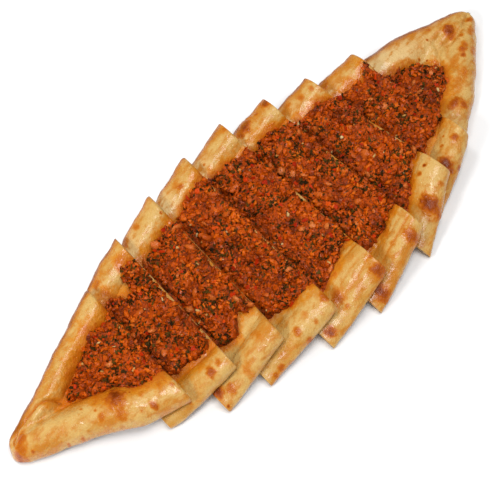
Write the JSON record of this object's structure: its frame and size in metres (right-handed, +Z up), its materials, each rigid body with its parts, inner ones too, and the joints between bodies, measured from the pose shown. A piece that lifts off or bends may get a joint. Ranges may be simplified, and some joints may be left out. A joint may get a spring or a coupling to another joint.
{
  "type": "turkish pide",
  "caption": "Boat-shaped flatbread with rolled crust edges and a minced meat filling, cut across, its slices pushed together so that each one lies on the next like a roof tile.",
  "frame": {"origin": "centre of the whole object's box, on the surface that it lies on", "axes": "+X along the row of slices, from the slice on top of the row to the lowest one; +Y towards the far crust; +Z up"},
  "size_m": [0.416, 0.1546, 0.0255],
  "materials": {
    "crust": "baked bread crust, golden with brown blisters, brushed with oil, satin",
    "filling": "fried minced meat in tomato and red pepper, crumbly and oily"
  },
  "bodies": {
    "root": {"dough_1": "crust", "dough_2": "crust", "dough_3": "crust", "dough_4": "crust", "dough_5": "crust", "dough_6": "crust", "dough_7": "crust", "dough_8": "crust", "dough_9": "crust", "filling_1": "filling", "filling_2": "filling", "filling_3": "filling", "filling_4": "filling", "filling_5": "filling", "filling_6": "filling", "filling_7": "filling", "filling_8": "filling", "filling_9": "filling"}
  },
  "joints": []
}
